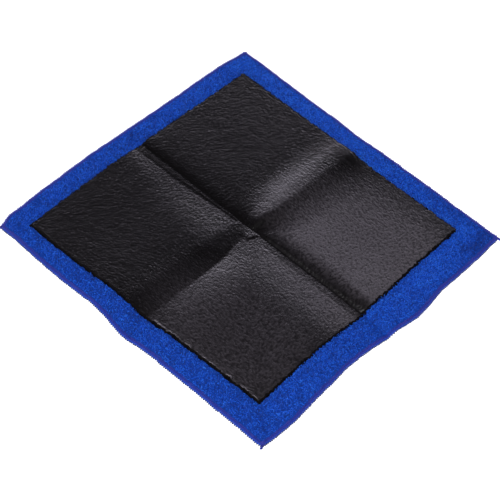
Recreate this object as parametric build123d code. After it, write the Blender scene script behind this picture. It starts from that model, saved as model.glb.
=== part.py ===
from build123d import *
import math
import os

# A clay towel: a square terry cloth with a thin square of detailing clay bonded to its upper face and
# an overlocked edge. It lies open as it does after being unfolded from quarters, so its middle stands
# a little off the table, the front half keeps a valley along the second crease and the back half
# keeps a ridge there. The first crease runs along X through the origin, and is the fold line between
# the front half (-Y) and the back half (+Y). The origin is at the bottom centre, +Z is up.

# Outline and layers, mm
SIDE = 300.0                # over the overlocked edge
CLOTH_T = 3.0               # terry cloth with its pile
BOND_T = 0.2                # hot-melt film between cloth and clay
CLAY_T = 1.2                # clay film
CLAY_X, CLAY_Y = 248.0, 250.0
CLAY_SHIFT = (-2.0, -1.0)   # the clay square isn't quite central on the cloth
CLAY_CORNER_R = 3.0

# Overlocked edge, mm
THREAD_T = 0.4              # flattened thread
SEAM_BITE = 4.5             # from the edge to the needle line
NEEDLE_W = 0.6

# Relief left by the folding, mm
MIDDLE_RISE = 6.0           # how far the middle stands up
RIDGE_RISE = 5.0            # extra height of the back half's ridge
CREASE_HALF_WIDTH = 45.0    # of the valley and the ridge
CREASE_FADE = 45.0          # the second crease dies out this near the fold line

# Fold line
FOLD_GAP = 0.3              # between the two halves
GRID_X, GRID_Y = 49, 25     # points across a half for its curved face

HALF = SIDE / 2
CLOTH_EDGE = HALF - THREAD_T
FLAT_FROM = HALF - SEAM_BITE - NEEDLE_W   # the edge beyond this lies flat
CLOTH_Z = THREAD_T                        # the cloth lies on the lower looper thread
BOND_Z = CLOTH_Z + CLOTH_T
CLAY_Z = BOND_Z + BOND_T
TOP_OF_SEAM = BOND_Z + THREAD_T
FOLD_AXIS_Z = CLAY_Z + CLAY_T + MIDDLE_RISE + FOLD_GAP / 2
HALVES = {"front": -1, "back": 1}


def plateau(u):
    """1 in the middle, falling smoothly to 0 where the edge lies flat."""
    return max(0.0, 1 - (u / FLAT_FROM) ** 4) ** 2


def second_crease(x, y):
    """1 along the second crease, 0 beyond its half width and beside the fold line."""
    across = min(1.0, abs(x) / CREASE_HALF_WIDTH)
    along = min(1.0, abs(y) / CREASE_FADE)
    return math.cos(math.pi / 2 * across) ** 2 * along * along * (3 - 2 * along)


def relief(x, y, way):
    """Height of the cloth's lower face above where its edge lies."""
    share = plateau(x) * plateau(y)
    crease = second_crease(x, y)
    if way < 0:
        return MIDDLE_RISE * share * (1 - crease)
    return share * (MIDDLE_RISE + RIDGE_RISE * crease)


def lower_face(way):
    """The curved lower face of one half of the cloth."""
    near, far = FOLD_GAP / 2, CLOTH_EDGE
    rows = []
    for j in range(GRID_Y):
        y = way * (near + (far - near) * j / (GRID_Y - 1))
        row = []
        for i in range(GRID_X):
            x = CLOTH_EDGE * (2 * i / (GRID_X - 1) - 1)
            row.append((x, y, relief(x, y, way)))
        rows.append(row)
    return Face.make_surface_from_array_of_points(rows, tol=0.001, min_deg=3, max_deg=3)


def layer(face, low, thick):
    """A sheet of even height that follows the cloth."""
    return extrude(Pos(0, 0, low) * face, amount=thick, dir=(0, 0, 1))


def half_block(way, low, high):
    """Everything on one side of the fold line between two heights."""
    depth = HALF - FOLD_GAP / 2
    block = Box(SIDE, depth, high - low)
    return Pos(0, way * (FOLD_GAP / 2 + depth / 2), (low + high) / 2) * block


def clay_outline():
    """A tall prism over the clay square."""
    tall = 4 * (MIDDLE_RISE + RIDGE_RISE + CLOTH_T)
    sketch = Pos(*CLAY_SHIFT) * RectangleRounded(CLAY_X, CLAY_Y, CLAY_CORNER_R)
    return extrude(sketch, amount=tall, both=True)


def ring(outer, inner, low, high):
    """A square ring between two half widths and two heights."""
    middle = Pos(0, 0, (low + high) / 2)
    return middle * Box(2 * outer, 2 * outer, high - low) - middle * Box(2 * inner, 2 * inner, high - low)


def seam_threads(way):
    """The three threads of the overlocked edge, on one half."""
    middle_z = (CLOTH_Z + BOND_Z) / 2
    needle_line = HALF - SEAM_BITE
    upper = ring(HALF, needle_line, BOND_Z, TOP_OF_SEAM) + ring(HALF, CLOTH_EDGE, middle_z, BOND_Z)
    lower = ring(HALF, needle_line, 0, CLOTH_Z) + ring(HALF, CLOTH_EDGE, CLOTH_Z, middle_z)
    needle = ring(needle_line, needle_line - NEEDLE_W, BOND_Z, TOP_OF_SEAM)
    half = half_block(way, 0, TOP_OF_SEAM)
    threads = {"upper_looper_thread": upper, "lower_looper_thread": lower, "needle_thread": needle}
    return {name: solid & half for name, solid in threads.items()}


def half_towel(way):
    """The pieces of one half, by name."""
    face = lower_face(way)
    clay_block = clay_outline()
    pieces = {
        "terry_cloth": layer(face, CLOTH_Z, CLOTH_T),
        "bond_film": layer(face, BOND_Z, BOND_T) & clay_block,
        "clay_film": layer(face, CLAY_Z, CLAY_T) & clay_block,
    }
    pieces.update(seam_threads(way))
    return pieces


os.makedirs("parts", exist_ok=True)
for half_name, way in HALVES.items():
    for piece_name, solid in half_towel(way).items():
        export_step(solid, f"parts/{piece_name}_{half_name}.step")
print("fold axis height", round(FOLD_AXIS_Z, 3))
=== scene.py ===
import bpy
import math
import numpy as np
from mathutils import Matrix, Vector


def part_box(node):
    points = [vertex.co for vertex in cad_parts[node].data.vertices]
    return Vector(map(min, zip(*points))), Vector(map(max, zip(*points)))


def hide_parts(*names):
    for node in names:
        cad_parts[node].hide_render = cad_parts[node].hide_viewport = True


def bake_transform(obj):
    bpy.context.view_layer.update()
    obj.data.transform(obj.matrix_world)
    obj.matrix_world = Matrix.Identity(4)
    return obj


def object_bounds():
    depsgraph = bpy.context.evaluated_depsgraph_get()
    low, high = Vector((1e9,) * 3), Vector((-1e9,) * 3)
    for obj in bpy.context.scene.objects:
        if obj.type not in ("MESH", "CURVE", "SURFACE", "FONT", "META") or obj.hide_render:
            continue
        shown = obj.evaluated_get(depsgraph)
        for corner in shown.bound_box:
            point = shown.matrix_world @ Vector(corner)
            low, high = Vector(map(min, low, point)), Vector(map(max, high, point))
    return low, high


# A clay towel lying open: blue terry cloth, black clay film bonded to its upper face, overlocked edge.
# It still has the creases of being folded in quarters. The first crease is the fold line, v = 0, and the
# second is u = 0. u, v are places in the flat sheet. Lengths are millimetres in the functions that shape
# the towel, and metres in Blender.

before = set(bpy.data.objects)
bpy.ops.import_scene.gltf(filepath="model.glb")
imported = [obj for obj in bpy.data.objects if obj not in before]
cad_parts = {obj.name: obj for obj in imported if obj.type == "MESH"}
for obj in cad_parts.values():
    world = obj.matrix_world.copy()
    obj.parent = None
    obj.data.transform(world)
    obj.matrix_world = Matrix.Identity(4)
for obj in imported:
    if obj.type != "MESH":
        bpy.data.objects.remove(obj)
cad_box = [list(corner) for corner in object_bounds()]

MM = 0.001

# Sizes taken from the frame, mm
HALF = cad_box[1][0] / MM
clay_low, clay_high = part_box("clay_film_front")
CLAY_U = (clay_low[0] / MM, clay_high[0] / MM)
CLAY_V = (clay_low[1] / MM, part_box("clay_film_back")[1][1] / MM)

# The clay's corners in the flat sheet, mm: front left, front right, back left and right
CLAY_PLAN = ((-126.5, -131.5), (121.5, -123.0), (-125.5, 125.0), (118.5, 127.0))

# Layers, mm
THREAD_T = 0.4
CLOTH_T = 3.0
BOND_T = 0.2
CLAY_T = 1.2
CLOTH_Z = THREAD_T
CLOTH_MIDDLE = CLOTH_T / 2

# Edges, mm
CORNER_R = 5.0              # of the cloth
EDGE_ROUND = 1.2            # the cloth's and the clay's edges are rounded over this width
RAGGED = 0.5                # unevenness of the clay's cut edge
CURL = 0.7                  # lift of the clay's front edge, right of the second crease
# the bond's near-black rim round the clay is painted shade
BOND_SPREAD = 0.7           # the bond film shows this much round the clay

# Pile, mm
TOP_SPACING, UNDER_SPACING = 1.55, 2.4
TOP_LOOP, UNDER_LOOP = 1.1, 1.0
LOOP_YARN_R = 0.36
PILE_INSET = 4.1            # the overlocked edge has no pile

# Overlocked edge, mm
PITCH = 1.9
THREAD_R = 0.29
NEEDLE_R = 0.24

# One stitch of each thread: (share of the pitch, distance in from the edge, height)
UPPER_LOOP = ((0.00, 3.0, 2.75), (0.08, 2.3, 2.95), (0.16, 1.4, 2.95), (0.24, 0.8, 2.75), (0.34, 0.45, 2.4),
              (0.44, 0.8, 2.75), (0.54, 1.4, 2.95), (0.66, 2.3, 2.95), (0.80, 3.0, 2.8))
LOWER_LOOP = ((0.00, 3.2, 0.18), (0.10, 2.4, 0.10), (0.20, 1.3, 0.12), (0.30, 0.0, 0.9), (0.40, 0.1, 2.2),
              (0.50, 0.0, 0.9), (0.60, 1.3, 0.12), (0.72, 2.4, 0.10), (0.86, 3.2, 0.18))
NEEDLE_LOOP = ((0.00, 3.2, 1.9), (0.06, 3.2, 2.7), (0.20, 3.2, 3.0), (0.72, 3.2, 3.0), (0.88, 3.2, 2.7),
               (0.94, 3.2, 1.9))

# Short chains of thread left at three corners: (corner, bend to one side, length)
TAILS = (((-1, -1), 0.9, 3.0), ((1, -1), -0.5, 2.4), ((1, 1), -0.3, 3.8))

# Relief left by the folding, mm
REST_LEVEL = 0.8            # all of the sheet but its edge
BACK_STEP = 1.0             # up from the fold line, behind it on the left
BACK_LEFT_LEVEL = 1.8       # and slowly up by this beyond it
FRONT_LEFT_RISE = 3.7       # the left wall of the valley in front of the fold line
FRONT_RIGHT_RISE = 5.3      # its right wall
RIDGE_RISE = 5.6            # the second crease, behind the fold line
CLIFF_RISE = 5.0            # up from the fold line, behind it on the right
STRIP_RISE = 0.45           # a line just in front of the fold line, on the left
FIRST_STEP = 0.5            # the fold line itself
PUCKER_RISE = 0.75          # the pinch in front of the fold line, at the middle
EDGE_FADE = 22.0            # the relief of the left half dies out this near the edge

# Yarn colours from the darkest to the lightest, linear; each loop takes one by its random tone and by the
# painted light and shade of its place
TERRY_SHADES = {
    "terry_navy": (0.006, 0.040, 0.30),
    "terry_deep": (0.008, 0.076, 0.52),
    "terry_mid": (0.012, 0.124, 0.76),
    "terry_bright": (0.020, 0.175, 0.90),
    "terry_pale": (0.034, 0.230, 0.97),
}
VIOLET_THREAD = (0.042, 0.055, 0.47)
# near-black: painted shade on the overlocked edge's outer, lower side, where the lower looper wraps it
PAINTED_SHADE_THREAD = (0.008, 0.008, 0.045)

# Clay: black where fresh; greyer on two patches, each (centre, size), mm: the back right one partly rubbed
# and partly painted light, the front right one painted light
CLAY_BLACK = (0.0042, 0.0036, 0.0040)
CLAY_GREY = (0.049, 0.043, 0.050)
CUT_BLACK = (0.006, 0.005, 0.005)
# near-black, so the bond's rim round the clay is a line of painted shade
BOND_PAINTED_SHADE = (0.003, 0.003, 0.005)
RUBBED_AND_PAINTED_LIGHT = ((90, 43), (100, 80))
PAINTED_LIGHT_PATCH = ((70, -90), (85, 62))
PAINTED_LIGHT_SHARE = 0.45

# Room: (height of the direction looked in, brightness), brightest low down on the backdrop's side
SKY = ((0.0, 1.1), (0.10, 1.5), (0.24, 6.5), (0.37, 6.5), (0.43, 1.8), (0.51, 0.12), (1.0, 0.02))
SKY_TINT = (1.0, 0.94, 1.10)
BACKDROP_AZIMUTH = 222
BACKDROP_EDGE = (0.60, 0.92)   # it fades in between these cosines of the angle from its middle
ROOM_SHARE = 0.10           # brightness away from the backdrop, as a share of its own

# Angles are degrees, lengths metres but for the lens, mm
SOFTBOX = dict(azimuth=30, elevation=40, distance=2.0, size=1.2, power=27)
CAMERA = dict(azimuth=36.14, elevation=50.55, roll=8.48, distance=1.4355,
              aim=(0.0121, -0.0136, 0.0), lens=125.7)
SENSOR_WIDTH = 36.0


def smooth(t):
    """0 below 0, 1 above 1, and an even S between."""
    t = np.clip(t, 0.0, 1.0)
    return t * t * (3 - 2 * t)


def bump(t, centre, width):
    """1 at the centre, dying away over the width to each side."""
    return np.exp(-(((t - centre) / width) ** 2))


def ramp(x, soft):
    """x where it is positive and 0 elsewhere, with the bend rounded over soft to each side."""
    return np.where(np.abs(x) < soft, (x + soft) ** 2 / (4 * soft), np.maximum(x, 0.0))


def climb(t, soft):
    """Rises evenly from 0 to 1 while t does the same, then stays there."""
    return 1 - ramp(1 - t, soft)


def grow(q, start, end, rate):
    """From start at q = 0 towards end, quickly at first."""
    return end + (start - end) * np.exp(-q / rate)


def rounded(u, radius):
    """u with the point of its abs() rounded."""
    return np.sign(u) * (np.sqrt(u * u + radius * radius) - radius)


def front_left(across, u, q):
    """In front of the fold line, left of the second crease: a straight wall up, then a slow fall.
    across is the distance to the right of that crease, and q is how far in front of the fold line."""
    wall = grow(q, 9, 20, 25)
    crest = 38 + 0.2 * np.minimum(u, 0)
    from_strip = np.maximum(q - 5 * smooth((-u - 8) / 60), 0)
    rise = FRONT_LEFT_RISE * (1 - 0.62 * smooth((-u - 5) / 85)) * climb(from_strip / crest, 0.4)
    rise = rise * (1 - 0.3 * smooth((q - 30) / 60))
    return rise * climb(-across / wall, 0.22) * smooth((HALF + u) / EDGE_FADE)


def front_right(across, u, q):
    """In front of the fold line and right of the second crease: an easier wall, low again near the edge."""
    wall = grow(q, 4, 40, 28)
    rise = FRONT_RIGHT_RISE * climb(q / 43, 0.3)
    rise = rise * (1 - 0.73 * smooth((q - 38) / 92)) * (1 - 0.2 * smooth((u - 112) / 38))
    share = np.clip(across / wall, 0, 1)
    return rise * (1 - (1 - share) ** 1.6) * (1 - 0.22 * smooth((across - wall) / 50))


def back_level(u, v):
    """Behind the fold line: nearly flat on the left, a long slope down from a crest on the right."""
    left = BACK_STEP * (1 - np.clip(1 - v / 10, 0, 1) ** 2.5)
    left = left + BACK_LEFT_LEVEL * (1 - np.clip(1 - v / 75, 0, 1) ** 2)
    left = left * smooth((HALF - v) / EDGE_FADE) * smooth((HALF + u) / EDGE_FADE)
    outer = smooth((u - 30) / 60)
    crest = (0.2 + 0.8 * climb(np.maximum(u, 0) / 110, 0.1)) * (1 - 0.22 * outer)
    slope = np.clip(1 - (v - 14) / 134, 0, 1) ** (1.4 + 0.3 * outer)
    foot = 24 - 0.1 * np.maximum(u, 0)
    lip = 1.1 * (1 - 0.55 * outer) * smooth(v / (2.5 + 2.5 * smooth(u / 120)))
    lip = lip * smooth((60 - v) / 60) * smooth(u / 20)
    cliff = 1 - np.clip(1 - v / foot, 0, 1) ** (2.0 - 0.5 * outer)
    right = lip + CLIFF_RISE * crest * cliff * np.where(v > 14, slope, 1)
    share = smooth((u + 10) / 30)
    return left * (1 - share) + right * share


def back_ridge(u, q):
    """The second crease behind the fold line: straight on its left side, easing out on its right."""
    across = rounded(u - 3.5 * smooth((q - 5) / 25), grow(q, 1, 3, 30))
    left = ramp(1 + across / grow(q, 2, 24, 14), 0.4)
    right = np.clip(1 - across / grow(q, 3, 30, 18), 0, 1) ** 2
    along = grow(q, 0, 1, 12) * (1 - 0.5 * smooth((q - 25) / 100)) * smooth((148 - q) / 30)
    return RIDGE_RISE * np.where(across < 0, left, right) * along


def fold_marks(u, v):
    """The narrow marks along the fold line itself."""
    behind = smooth((60 - v) / 50)
    second = -3.0 - 4.5 * smooth((-u - 10) / 80)
    strip = STRIP_RISE * (1 - smooth((v / second - 0.6) / 0.45)) * behind * smooth((-u - 8) / 12)
    width = 1.6 + 2.4 * smooth(u / 90)
    first = FIRST_STEP * (1 + 0.3 * smooth(u / 60)) * smooth((v + 0.5) / width) * behind
    faint = -0.07 * bump(v, -7, 1.3) * smooth((u - 15) / 15)
    from_tick = u - 10 - 0.38 * v
    tick = smooth((from_tick + 16) / 16) * smooth((1.6 - from_tick) / 2)
    pucker = PUCKER_RISE * tick * smooth((v + 13) / 5) * smooth(-v / 2)
    return (strip + first + faint + pucker) * (1 - 0.8 * smooth((np.abs(u) - 112) / 25))


def height(u, v):
    """Height of the cloth's lower face above where its edge lies."""
    q = np.abs(v)
    across = rounded(u - 6 * smooth(q / 50), 1.0)
    front = np.where(across < 0, front_left(across, u, q), front_right(across, u, q))
    back = back_level(u, v) + back_ridge(u, q)
    inside = smooth((HALF - np.abs(u)) / 12) * smooth((HALF - q) / 12)
    return np.maximum(0.0, np.where(v < 0, front, back) + REST_LEVEL * inside + fold_marks(u, v))


def rough_line(s, seed):
    """An uneven line, about -1 to 1, for a cut edge; s in mm."""
    rng = np.random.default_rng(seed)
    waves = 2 * np.pi / np.geomspace(1.9, 24, 11)
    phases, sizes = rng.uniform(0, 2 * np.pi, 11), rng.uniform(0.3, 0.6, 11)
    return sum(size * np.sin(wave * s + phase) for wave, phase, size in zip(waves, phases, sizes))


def near_edge(inset):
    """1 at the sheet's edge, falling to 0 well inside it."""
    return smooth(1 - inset / 45)


def sideways(u, v):
    """How far each point of the sheet lies from its place in the flat square."""
    front_edge = (3.0 * bump(u, 2, 18) - 2.2 * bump(u, -HALF, 50) - 1.0 * bump(u, -40, 25)
                  + 0.7 * bump(u, 50, 40))
    right_edge = (4.4 * bump(v, 32, 26) - 2.6 * bump(v, -42, 30) + 1.5 * bump(v, -120, 22)
                  - 1.8 * bump(v, HALF, 25))
    left_edge = (-5.5 * bump(v, -HALF, 12) - 1.8 * bump(v, -122, 18) + 1.4 * bump(v, -30, 40)
                 - 2.8 * bump(v, HALF, 20))
    back_edge = 2.0 * bump(u, -HALF, 60) - 1.2 * bump(u, -5, 15) - 1.0 * bump(u, HALF, 80)
    wave_u, wave_v = 0.16 * rough_line(u / 3.5, 51), 0.16 * rough_line(v / 3.5, 52)
    front_edge, back_edge = front_edge + wave_u, back_edge - wave_u
    right_edge, left_edge = right_edge + wave_v, left_edge + wave_v
    dv = -front_edge * near_edge(HALF + v) + back_edge * near_edge(HALF - v)
    du = right_edge * near_edge(HALF - u) - left_edge * near_edge(HALF + u)
    return du, dv


def round_corners(u, v):
    """Draws the square's corners in to a small radius."""
    a = np.maximum(np.abs(u) - HALF + CORNER_R, 0)
    b = np.maximum(np.abs(v) - HALF + CORNER_R, 0)
    share = np.maximum(a, b) / np.maximum(np.hypot(a, b), 1e-9)
    both = (a > 0) & (b > 0)
    return (np.where(both, np.sign(u) * (HALF - CORNER_R + a * share), u),
            np.where(both, np.sign(v) * (HALF - CORNER_R + b * share), v))


def place(u, v, w):
    """A point of the sheet in the row frame, mm; w is its height above the cloth's lower face."""
    u, v, w = np.broadcast_arrays(*(np.asarray(a, float) for a in (u, v, w)))
    u, v = round_corners(u, v)
    du, dv = sideways(u, v)
    return np.stack([u + du, v + dv, CLOTH_Z + height(u, v) + w], axis=-1)


def lines(*stretches):
    """Grid lines along one direction, from (start, end, step) stretches that follow each other."""
    parts = []
    for start, end, step in stretches:
        count = max(1, round((end - start) / step))
        parts.append(np.linspace(start, end, count, endpoint=False))
    return np.append(np.concatenate(parts), stretches[-1][1])


def new_mesh(name, points, faces):
    """A smooth-shaded object in the scene from points in mm."""
    mesh = bpy.data.meshes.new(name)
    mesh.from_pydata((np.asarray(points).reshape(-1, 3) * MM).tolist(), [], faces)
    mesh.polygons.foreach_set("use_smooth", [True] * len(mesh.polygons))
    mesh.update()
    obj = bpy.data.objects.new(name, mesh)
    bpy.context.scene.collection.objects.link(obj)
    return obj


def carry_flat(obj, u, v, inset):
    """Gives each vertex its place in the flat sheet and its distance in from the edge, mm."""
    flat = obj.data.attributes.new("flat", "FLOAT_VECTOR", "POINT")
    flat.data.foreach_set("vector", np.stack([u, v, inset], -1).ravel())


def slab(name, top, bottom, u, v, inset):
    """A closed sheet from two grids of points with the same shape."""
    n, m = top.shape[:2]
    index = np.arange(n * m).reshape(n, m)
    a, b, c, d = index[:-1, :-1], index[1:, :-1], index[1:, 1:], index[:-1, 1:]
    upper = np.stack([a, b, c, d], -1).reshape(-1, 4)
    lower = upper[:, ::-1] + n * m
    ring = np.concatenate([index[:, 0], index[-1, 1:], index[-2::-1, -1], index[0, -2:0:-1]])
    after = np.roll(ring, -1)
    rim = np.stack([after, ring, ring + n * m, after + n * m], -1)
    faces = np.concatenate([upper, lower, rim]).tolist()
    obj = new_mesh(name, np.concatenate([top.reshape(-1, 3), bottom.reshape(-1, 3)]), faces)
    carry_flat(obj, np.tile(u.ravel(), 2), np.tile(v.ravel(), 2), np.tile(inset.ravel(), 2))
    return obj


def quarter_round(inset):
    """From 0 at an edge up to 1, as the side of a rounded edge does."""
    return np.sqrt(1 - np.clip(1 - inset / EDGE_ROUND, 0, 1) ** 2)


def make_cloth():
    """The woven ground of the terry, whose pile stands on it; under the clay the pile is pressed flat."""
    edge = HALF - 2 * THREAD_R
    border = ((-edge, -edge + EDGE_ROUND, 0.4), (-edge + EDGE_ROUND, -144, 0.9), (-144, -122, 1.5))
    after = tuple((-end, -start, step) for start, end, step in reversed(border))
    us = lines(*border, (-122, 122, 1.9), *after)
    vs = lines(*border, (-122, -9, 1.9), (-9, 9, 0.9), (9, 122, 1.9), *after)
    u, v = np.meshgrid(us, vs, indexing="ij")
    inset = np.minimum(edge - np.abs(u), edge - np.abs(v))
    rim = quarter_round(inset)
    under_clay = smooth((inset - 27) / 3)
    top = CLOTH_MIDDLE + (0.25 + 0.75 * rim) * (1.1 - 0.35 * smooth((inset - 4) / 3)) + 0.75 * under_clay
    bottom = CLOTH_MIDDLE - (0.25 + 0.75 * rim) * (1.1 - 0.45 * smooth((inset - 4) / 3))
    return slab("terry_cloth", place(u, v, top), place(u, v, bottom), u, v, inset)


def scatter(pitch, half, seed):
    """Loosely regular spots over the square, mm."""
    rng = np.random.default_rng(seed)
    rows = np.arange(-half, half, pitch * 0.866)
    columns = np.arange(-half, half, pitch)
    u, v = np.meshgrid(columns, rows)
    u = u + (np.arange(len(rows))[:, None] % 2) * pitch / 2
    shift = rng.uniform(-0.28, 0.28, (2,) + u.shape) * pitch
    return (u + shift[0]).ravel(), (v + shift[1]).ravel()


def yarn_tone_and_painted_light(u, v):
    """How much lighter or darker the yarn is from place to place, in steps of TERRY_SHADES: random tone and
    rows, darker near the back right corner, painted shade along the creases, and painted light and shade on
    the borders by side.
    """
    rng = np.random.default_rng(41)
    tone = 0.0
    for length in (9, 16, 30, 55):
        angle, phase = rng.uniform(0, 2 * np.pi, 2)
        tone = tone + 0.13 * np.sin(2 * np.pi * (u * np.cos(angle) + v * np.sin(angle)) / length + phase)
    rows = 0.35 * np.sin(2 * np.pi * np.where(np.abs(u) > np.abs(v), u, v) / 2.6)
    # darker along the right edge near the back corner, and along the right part of the back edge
    darker_back_right = -2.2 * bump(u, 141, 9) * bump(v, 132, 22) - 1.4 * bump(v, 143, 6) * bump(u, 105, 45)
    # painted shade: darker yarn along the fold line and where the second crease crosses the front border
    fold = -0.9 * bump(u, 2, 3.5) * (v < -120) - 0.7 * bump(v, 1, 3)
    # painted light and shade by side: the back border lighter, the front and left ones darker, the right one
    # darker in front, and both side borders lighter towards the back
    back, front, left = 0.55 * (v > 124), -0.25 * (v < -124), -0.25 * (u < -124)
    right = -0.25 * (u > 124) * (v < 0) + 0.4 * (np.abs(u) > 124) * smooth(v / 80)
    return tone + rows + darker_back_right + fold + back + front + left + right


def loop_shape(scale):
    """One terry loop as four rings of three points: along the loop, to its side, and up."""
    along = np.array([-0.50, -0.36, 0.36, 0.50])
    rise = np.array([0.0, 0.80, 0.88, 0.0])
    tangent = np.array([[0.1, 1.0], [0.85, 0.5], [0.85, -0.5], [0.1, -1.0]])
    angle = np.radians([90, 210, 330])
    across = LOOP_YARN_R * np.cos(angle)[None, :] + 0 * along[:, None]
    normal = LOOP_YARN_R * np.sin(angle)[None, :]
    x = scale * (along[:, None] - normal * tangent[:, 1:]).ravel()
    h = scale * (rise[:, None] + normal * tangent[:, :1]).ravel()
    return x, scale * across.ravel(), h


def make_loops(name, u, v, ground, way, scale, seed):
    """Terry loops standing on the spots, each turned and leaned its own way; way is 1 up or -1 down."""
    rng = np.random.default_rng(seed)
    count = len(u)
    x, y, h = loop_shape(scale)
    size = rng.uniform(0.8, 1.2, (count, 1))
    turn = rng.uniform(0, 2 * np.pi, (count, 1))
    lean = rng.normal(0, 0.28, (2, count, 1)) * np.clip(h, 0, None)
    x, y, h = x * size, y * size, h * size
    us = u[:, None] + x * np.cos(turn) - y * np.sin(turn) + lean[0]
    vs = v[:, None] + x * np.sin(turn) + y * np.cos(turn) + lean[1]
    points = place(us, vs, ground[:, None] + way * h).reshape(-1, 3)
    ring, side = np.meshgrid(np.arange(3), np.arange(3), indexing="ij")
    a, b = ring * 3 + side, ring * 3 + (side + 1) % 3
    quads = np.stack([a, a + 3, b + 3, b] if way > 0 else [b, b + 3, a + 3, a], -1).reshape(-1, 4)
    faces = (quads[None] + 12 * np.arange(count)[:, None, None]).reshape(-1, 4)
    obj = new_mesh(name, points, faces.tolist())
    # each loop's colour step: random, plus its place's tone, which carries painted shade and painted light
    level = rng.normal(0, 0.8, count) + yarn_tone_and_painted_light(u, v)
    shade = np.clip(np.round(2 + level), 0, len(TERRY_SHADES) - 1)
    obj.data.polygons.foreach_set("material_index", np.repeat(shade, 9).astype(np.int32))
    return obj


def inside_clay(u, v, margin):
    """True where the clay covers the sheet."""
    (lu, lv), (ru, rv), (lU, lV), (rU, rV) = CLAY_PLAN
    left = lu + (lU - lu) * (v - lv) / (lV - lv)
    right = ru + (rU - ru) * (v - rv) / (rV - rv)
    front = lv + (rv - lv) * (u - lu) / (ru - lu)
    back = lV + (rV - lV) * (u - lU) / (rU - lU)
    return (u > left + margin) & (u < right - margin) & (v > front + margin) & (v < back - margin)


def make_pile():
    """The loops on both faces; none stand under the clay, and the lower face's are in two pieces."""
    u, v = scatter(TOP_SPACING, HALF - 3, 11)
    show = (np.maximum(np.abs(u), np.abs(v)) < HALF - PILE_INSET) & ~inside_clay(u, v, -0.5)
    ground = np.full(show.sum(), CLOTH_MIDDLE + 0.7)
    top = make_loops("terry_pile_top", u[show], v[show], ground, 1, TOP_LOOP, 12)
    u, v = scatter(UNDER_SPACING, HALF - 3, 21)
    pieces = [top]
    for side, keep in (("left", u < 0), ("right", u >= 0)):
        keep = keep & (np.maximum(np.abs(u), np.abs(v)) < HALF - PILE_INSET)
        ground = np.full(keep.sum(), CLOTH_MIDDLE - 0.6)
        pieces.append(make_loops("terry_pile_under_" + side, u[keep], v[keep], ground, -1, UNDER_LOOP, 22))
    return pieces


def outline(s):
    """The sheet's edge, s mm round from its front left corner: the place, the way out and the way along."""
    side, t = np.divmod(s / (2 * HALF), 1.0)
    side = side.astype(int) % 4
    corners = HALF * np.array([[-1, -1], [1, -1], [1, 1], [-1, 1]], float)
    start, end = corners[side], corners[(side + 1) % 4]
    point = start + (end - start) * t[:, None]
    forward = (end - start) / (2 * HALF)
    outward = np.stack([forward[:, 1], -forward[:, 0]], -1)
    return point, outward, forward


def tube(points, reference, radius, sides=5):
    """Vertices and faces of a round thread through the points."""
    tangent = np.gradient(points, axis=0)
    tangent /= np.linalg.norm(tangent, axis=1)[:, None]
    first = np.cross(tangent, reference)
    first /= np.linalg.norm(first, axis=1)[:, None]
    second = np.cross(tangent, first)
    angle = 2 * np.pi * np.arange(sides) / sides
    ring = np.cos(angle)[None, :, None] * first[:, None] + np.sin(angle)[None, :, None] * second[:, None]
    vertices = (points[:, None] + radius * ring).reshape(-1, 3)
    i, j = np.meshgrid(np.arange(len(points) - 1), np.arange(sides), indexing="ij")
    k = (j + 1) % sides
    here, ahead = i * sides, (i + 1) * sides
    faces = np.stack([here + j, here + k, ahead + k, ahead + j], -1).reshape(-1, 4)
    caps = [list(range(sides))[::-1], list(range(len(vertices) - sides, len(vertices)))]
    return vertices, faces.tolist() + caps


def make_thread(name, stitch, radius, start, along_edge, seed, tails=()):
    """One thread of the overlocked edge, all the way round, with its share of the tails at the corners.
    along_edge is True for the thread that runs along the edge and doesn't wrap it."""
    rng = np.random.default_rng(seed)
    count = round(8 * HALF / PITCH)
    share, inset, w = (np.tile(values, count) for values in np.array(stitch).T)
    index = np.repeat(np.arange(count), len(stitch))
    uneven = rng.normal(0, 0.10, (2, count))[:, index]
    s = (index + share + start) * 8 * HALF / count + uneven[0]
    point, outward, forward = outline(np.clip(s, 0, 8 * HALF - 1e-3))
    inset = inset + np.where(inset > 2, 2.5 * uneven[1], 0.3 * uneven[1])
    spot = point - outward * inset[:, None]
    spot = np.where(np.abs(spot) > HALF, np.sign(spot) * HALF, spot)
    points = place(spot[:, 0], spot[:, 1], w)
    direction = outward if along_edge else forward
    reference = np.concatenate([direction, np.zeros((len(direction), 1))], axis=1)
    vertices, faces = tube(points, reference, radius)
    for corner, bend, length in tails:
        more, more_faces = tail(corner, bend, length, 2.1 * radius, start)
        faces += [[n + len(vertices) for n in face] for face in more_faces]
        vertices = np.concatenate([vertices, more])
    return new_mesh(name, vertices, faces)


def tail(corner, bend, length, radius, phase):
    """A strand of the short chain of thread left at a corner; the three strands twist round each other."""
    t = np.linspace(-0.35, 1, 22)
    way = np.array(corner, float) / math.sqrt(2)
    sideways_way = np.array([-way[1], way[0]])
    centre = np.array(corner) * (HALF - 1.6)
    swing = 0.9 * (1 - 0.4 * np.clip(t, 0, 1))
    turn = 2 * np.pi * (2.0 * t + phase)
    along = length * t
    off = bend * np.clip(t, 0, 1) ** 2 * length + swing * np.cos(turn)
    spot = centre + way * along[:, None] + sideways_way * off[:, None]
    middle = place(spot[:, 0].clip(-HALF, HALF), spot[:, 1].clip(-HALF, HALF), 1.2)
    z = middle[:, 2] * (1 - np.clip(t, 0, 1)) + 0.9 * np.clip(t, 0, 1) + swing * np.sin(turn)
    shift = middle[:1, :2] - spot[:1]
    points = np.concatenate([spot + shift, np.maximum(z, radius)[:, None]], axis=1)
    reference = np.tile([0.0, 0.0, 1.0], (len(points), 1))
    return tube(points, reference, radius)


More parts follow.
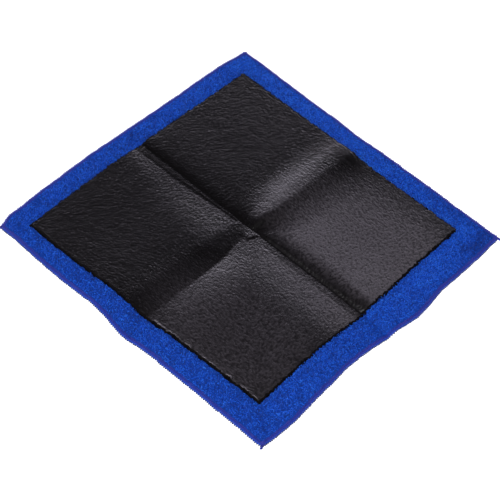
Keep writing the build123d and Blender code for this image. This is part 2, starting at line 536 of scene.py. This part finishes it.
def clay_plan(a, b, spread, seed):
    """A point of the clay, or of the bond under it, in the flat sheet; a and b run from 0 to 1 over it.
    Its cut edge is uneven, and lies spread mm outside the clay's outline."""
    corners = np.array(CLAY_PLAN)
    low = corners[0] + (corners[1] - corners[0]) * a[..., None]
    high = corners[2] + (corners[3] - corners[2]) * a[..., None]
    plan = low + (high - low) * b[..., None]
    side = 2.0 * bump(a, 1, 0.25) * bump(b, 0.45, 0.2) - 1.4 * bump(a, 0, 0.25) * bump(b, 0.42, 0.3)
    near_u = np.clip(1 - np.minimum(a, 1 - a) / 0.02, 0, 1) * np.sign(a - 0.5)
    near_v = np.clip(1 - np.minimum(b, 1 - b) / 0.02, 0, 1) * np.sign(b - 0.5)
    u = plan[..., 0] + side + near_u * (spread + RAGGED * rough_line(b * 250, seed))
    v = plan[..., 1] + near_v * (spread + RAGGED * rough_line(a * 250, seed + 1))
    return u, v


def make_film(name, low, thickness, spread, step, seed, curl=0.0):
    """A thin sheet on the cloth's upper face, with a rounded edge that has the second material slot.
    Its front edge lifts by about curl mm, right of the second crease."""
    width, depth = CLAY_U[1] - CLAY_U[0], CLAY_V[1] - CLAY_V[0]
    fold = -CLAY_V[0]
    edge = (0, 2.4, 0.6)
    tick = 3 - CLAY_U[0]    # the grid is finer from here over the pucker, and along the fold line
    ways = lines(edge, (2.4, tick, step), (tick, tick + 11, 0.45 * step), (tick + 11, width - 2.4, step),
                 (width - 2.4, width, 0.6)) / width
    along = lines(edge, (2.4, fold - 14, step), (fold - 14, fold + 16, 0.45 * step),
                  (fold + 16, depth - 2.4, step), (depth - 2.4, depth, 0.6)) / depth
    a, b = np.meshgrid(ways, along, indexing="ij")
    u, v = clay_plan(a, b, spread, seed)
    inset = np.minimum(np.minimum(a, 1 - a) * width, np.minimum(b, 1 - b) * depth)
    round_edge = quarter_round(inset)
    low = low + curl * smooth(1 - b * depth / 3) * smooth((u - 8) / 5) * (0.65 + 0.35 * rough_line(u, 9))
    top = low + thickness * (0.35 + 0.65 * round_edge)
    film = slab(name, place(u, v, top), place(u, v, low), u, v, inset)
    cut = (inset[1:, 1:] + inset[:-1, :-1] < 2.0).ravel()
    rim = np.ones(len(film.data.polygons) - 2 * len(cut), bool)
    lower_face = np.zeros(len(cut), bool)
    slots = np.concatenate([cut, lower_face, rim]).astype(np.int32)
    film.data.polygons.foreach_set("material_index", slots)
    return film


def principled(name, **sockets):
    """A new material, its node tree and its shader, with some of the shader's sockets set."""
    material = bpy.data.materials.new(name)
    material.use_nodes = True
    shader = material.node_tree.nodes["Principled BSDF"]
    for socket, value in sockets.items():
        shader.inputs[socket.replace("_", " ")].default_value = value
    return material, material.node_tree, shader


def add_node(tree, kind, inputs=(), **settings):
    """A shader node whose inputs are values or other nodes' outputs."""
    node = tree.nodes.new("ShaderNode" + kind)
    for name, value in settings.items():
        setattr(node, name, value)
    for socket, value in dict(inputs).items():
        if hasattr(value, "is_output"):
            tree.links.new(value, node.inputs[socket])
        else:
            node.inputs[socket].default_value = value
    return node


def noise(tree, where, scale, detail, roughness):
    """A noise texture's value at each place."""
    settings = {"Vector": where, "Scale": scale, "Detail": detail, "Roughness": roughness}
    return add_node(tree, "TexNoise", settings).outputs[0]


def weighted_sum(tree, first, weight, second):
    """first times weight, plus second."""
    return add_node(tree, "Math", {0: first, 1: weight, 2: second}, operation="MULTIPLY_ADD").outputs[0]


def fibres(tree, shader, scale, strength, distance, roughness):
    """Fine fibre relief and an uneven shine, on a yarn or thread."""
    way = add_node(tree, "TexCoord").outputs["Object"]
    stretched = add_node(tree, "Mapping", {"Vector": way, "Scale": (scale, scale, 0.4 * scale)})
    fluff = noise(tree, stretched.outputs[0], 1.0, 3.0, 0.65)
    dents = add_node(tree, "Bump", {"Height": fluff, "Strength": strength, "Distance": distance})
    shine = add_node(tree, "MapRange", {"Value": fluff, "From Min": 0.3, "From Max": 0.7,
                                        "To Min": roughness[0], "To Max": roughness[1]})
    tree.links.new(dents.outputs[0], shader.inputs["Normal"])
    tree.links.new(shine.outputs[0], shader.inputs["Roughness"])


def terry_material(name, colour):
    """Split microfibre yarn: matt, with a bluish bloom of fibre ends."""
    material, tree, shader = principled(name, Base_Color=colour + (1,), Specular_IOR_Level=0.25,
                                        Sheen_Weight=0.25, Sheen_Roughness=0.4,
                                        Sheen_Tint=(0.25, 0.5, 1.0, 1))
    fibres(tree, shader, 3200, 0.6, 0.0002, (0.7, 1.0))
    return material


def thread_material(name, colour):
    """Twisted polyester sewing thread, a little glossier than the yarn."""
    material, tree, shader = principled(name, Base_Color=colour + (1,), Specular_IOR_Level=0.3)
    fibres(tree, shader, 4500, 0.5, 0.0001, (0.4, 0.65))
    return material


def blotch(tree, where, centre, size, strength=1.0):
    """A soft round patch in the sheet's own coordinates, mm, ragged at its edge."""
    shift = (-centre[0] / size[0], -centre[1] / size[1], 0)
    scaled = add_node(tree, "Mapping", {"Vector": where, "Location": shift,
                                        "Scale": (1 / size[0], 1 / size[1], 0)})
    length = add_node(tree, "VectorMath", {0: scaled.outputs[0]}, operation="LENGTH")
    fall = add_node(tree, "MapRange", {"Value": length.outputs["Value"], "From Min": 1.25, "From Max": 0.45,
                                       "To Min": 0.0, "To Max": strength}, interpolation_type="SMOOTHSTEP")
    return fall.outputs[0]


def flat_coordinates(tree):
    """The flat sheet's coordinates, mm, which each piece carries as an attribute."""
    return add_node(tree, "Attribute", attribute_name="flat").outputs["Vector"]


def clay_wear_and_painted_light(tree, where, grain):
    """How far the clay is greyed, partly as rubbed wear and partly as painted light, mottled by the grain,
    and less beside the fold line as painted shade.
    """
    rubbed_and_painted_light = blotch(tree, where, *RUBBED_AND_PAINTED_LIGHT)
    painted_light_patch = blotch(tree, where, *PAINTED_LIGHT_PATCH, PAINTED_LIGHT_SHARE)
    rubbed_and_painted_light = add_node(tree, "Math", {0: rubbed_and_painted_light, 1: painted_light_patch}, operation="MAXIMUM").outputs[0]
    mottle = add_node(tree, "MapRange", {"Value": grain, "From Min": 0.35, "From Max": 0.68,
                                         "To Min": 0.3, "To Max": 1.6})
    from_fold = add_node(tree, "SeparateXYZ", {0: where}).outputs["Y"]
    from_fold = add_node(tree, "Math", {0: from_fold}, operation="ABSOLUTE").outputs[0]
    # painted shade: the clay is kept darker within about 15 mm of the fold line
    painted_crease_shade = add_node(tree, "MapRange", {"Value": from_fold, "From Min": 1.5, "From Max": 15.0,
                                          "To Min": 0.15}, interpolation_type="SMOOTHSTEP")
    wear_and_painted_light = add_node(tree, "Math", {0: rubbed_and_painted_light, 1: mottle.outputs[0]}, operation="MULTIPLY").outputs[0]
    return add_node(tree, "Math", {0: wear_and_painted_light, 1: painted_crease_shade.outputs[0]}, operation="MULTIPLY").outputs[0]


def clay_material():
    """Semi-gloss rubbery clay with a fine grain, and a duller, greyer look where it has been rubbed and
    where light is painted on, kept darker beside the fold line as painted shade.
    """
    material, tree, shader = principled("clay", Base_Color=CLAY_BLACK + (1,), Roughness=0.28,
                                        Specular_IOR_Level=0.42)
    where = flat_coordinates(tree)
    grain = noise(tree, where, 0.40, 2.0, 0.55)
    coarse = noise(tree, where, 0.10, 3.0, 0.6)
    pits = noise(tree, where, 0.75, 2.0, 0.7)
    wear_and_painted_light = clay_wear_and_painted_light(tree, where, grain)
    colour = add_node(tree, "Mix", {"Factor": wear_and_painted_light, "A": CLAY_BLACK + (1,), "B": CLAY_GREY + (1,)},
                      data_type="RGBA")
    colour = [socket for socket in colour.outputs if socket.type == "RGBA"][0]
    shine = add_node(tree, "MapRange", {"Value": wear_and_painted_light, "To Min": 0.27, "To Max": 0.47})
    relief = weighted_sum(tree, pits, 0.3, weighted_sum(tree, coarse, 0.8, grain))
    dents = add_node(tree, "Bump", {"Height": relief, "Strength": 0.50, "Distance": 0.0007})
    tree.links.new(colour, shader.inputs["Base Color"])
    tree.links.new(shine.outputs[0], shader.inputs["Roughness"])
    tree.links.new(dents.outputs[0], shader.inputs["Normal"])
    return material


def cut_material(name, colour):
    """The dull, uneven look of a cut edge, and of the hot-melt film where it shows round the clay as a thin
    dark line of painted shade.
    """
    material, tree, shader = principled(name, Base_Color=colour + (1,), Specular_IOR_Level=0.08)
    where = flat_coordinates(tree)
    grain = noise(tree, where, 0.9, 3.0, 0.6)
    shine = add_node(tree, "MapRange", {"Value": grain, "To Min": 0.6, "To Max": 0.95})
    dents = add_node(tree, "Bump", {"Height": grain, "Strength": 0.5, "Distance": 0.0004})
    tree.links.new(shine.outputs[0], shader.inputs["Roughness"])
    tree.links.new(dents.outputs[0], shader.inputs["Normal"])
    return material


def make_world():
    """A dim room with a bright low backdrop behind the towel."""
    world = bpy.data.worlds.new("studio")
    world.use_nodes = True
    tree = world.node_tree
    way = add_node(tree, "TexCoord").outputs["Generated"]
    shade = add_node(tree, "ValToRGB", {0: add_node(tree, "SeparateXYZ", {0: way}).outputs["Z"]})
    elements = shade.color_ramp.elements
    elements[0].position, elements[1].position = SKY[0][0], SKY[-1][0]
    for position, _ in SKY[1:-1]:
        elements.new(position)
    for element, (_, value) in zip(elements, SKY):
        element.color = [value * part for part in SKY_TINT] + [1]
    azimuth = math.radians(BACKDROP_AZIMUTH)
    backdrop = (math.sin(azimuth), -math.cos(azimuth), 0)
    facing = add_node(tree, "VectorMath", {0: way, 1: backdrop}, operation="DOT_PRODUCT")
    behind = add_node(tree, "MapRange", {"Value": facing.outputs["Value"], "From Min": BACKDROP_EDGE[0],
                                         "From Max": BACKDROP_EDGE[1], "To Min": ROOM_SHARE},
                      interpolation_type="SMOOTHSTEP")
    background = tree.nodes["Background"]
    tree.links.new(shade.outputs[0], background.inputs["Color"])
    tree.links.new(behind.outputs[0], background.inputs["Strength"])
    return world


def direction_to(azimuth, elevation):
    """A unit vector up and away from the towel; azimuth 0 is in front of it, and 90 to its right."""
    a, e = math.radians(azimuth), math.radians(elevation)
    return Vector((math.sin(a) * math.cos(e), -math.cos(a) * math.cos(e), math.sin(e)))


def add_softbox(azimuth, elevation, distance, size, power):
    """A soft square light aimed at the towel."""
    data = bpy.data.lights.new("softbox", "AREA")
    data.size, data.energy = size, power
    lamp = bpy.data.objects.new("softbox", data)
    away = direction_to(azimuth, elevation)
    lamp.location = away * distance
    lamp.rotation_euler = away.to_track_quat("Z", "Y").to_euler()
    bpy.context.scene.collection.objects.link(lamp)


def add_camera(azimuth, elevation, roll, distance, aim, lens):
    """A camera looking at aim, turned by roll about its own line of sight."""
    away = direction_to(azimuth, elevation)
    right = Vector((0, 0, 1)).cross(away).normalized()
    up = away.cross(right)
    r = math.radians(roll)
    right, up = right * math.cos(r) + up * math.sin(r), up * math.cos(r) - right * math.sin(r)
    data = bpy.data.cameras.new("camera")
    data.lens, data.sensor_width = lens, SENSOR_WIDTH
    data.clip_start, data.clip_end = 0.05, 50
    camera = bpy.data.objects.new("camera", data)
    turn = Matrix((right, up, away)).transposed()
    camera.matrix_world = Matrix.Translation(Vector(aim) + away * distance) @ turn.to_4x4()
    bpy.context.scene.collection.objects.link(camera)
    bpy.context.scene.camera = camera


def settle(piece, materials):
    """Gives a piece its materials and bakes its transform into its mesh."""
    for material in materials:
        piece.data.materials.append(material)
    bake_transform(piece)


def stand_for(piece, *nodes):
    """Hides both halves of each node, whose place the piece takes; piece is not used."""
    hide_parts(*[node + side for node in nodes for side in ("_front", "_back")])


shades = [terry_material(name, colour) for name, colour in TERRY_SHADES.items()]
violet = thread_material("violet_thread", VIOLET_THREAD)
shaded_edge_thread = thread_material("painted_shade_thread", PAINTED_SHADE_THREAD)

cloth = make_cloth()
settle(cloth, [shades[1]])
stand_for(cloth, "terry_cloth")

pile = make_pile()
for piece in pile:
    settle(piece, shades)

bond_painted_shade = cut_material("bond_painted_shade", BOND_PAINTED_SHADE)
bond = make_film("bond_film", CLOTH_T, BOND_T, BOND_SPREAD, 2.2, 7)
settle(bond, [bond_painted_shade, bond_painted_shade])
stand_for(bond, "bond_film")

clay = make_film("clay_film", CLOTH_T + BOND_T, CLAY_T, 0.0, 1.35, 5, CURL)
settle(clay, [clay_material(), cut_material("clay_cut", CUT_BLACK)])
stand_for(clay, "clay_film")

upper = make_thread("upper_looper_thread", UPPER_LOOP, THREAD_R, 0.0, False, 31, TAILS)
lower = make_thread("lower_looper_thread", LOWER_LOOP, THREAD_R, 0.33, False, 32, TAILS)
needle = make_thread("needle_thread", NEEDLE_LOOP, NEEDLE_R, 0.66, True, 33, TAILS)
# the lower looper's near-black colour is painted shade along the edge
for thread, colour in ((upper, violet), (lower, shaded_edge_thread), (needle, violet)):
    settle(thread, [colour])
    stand_for(thread, thread.name)

floor_corners = [(-4000, -4000, 0), (4000, -4000, 0), (4000, 4000, 0), (-4000, 4000, 0)]
floor = new_mesh("floor", floor_corners, [(0, 1, 2, 3)])
floor_white, _, _ = principled("floor", Base_Color=(0.9, 0.9, 0.9, 1), Roughness=0.8,
                               Emission_Color=(1, 1, 1, 1), Emission_Strength=1.0)
floor.data.materials.append(floor_white)

bpy.context.scene.world = make_world()
add_softbox(**SOFTBOX)
add_camera(**CAMERA)
bpy.context.scene.view_settings.view_transform = "Standard"
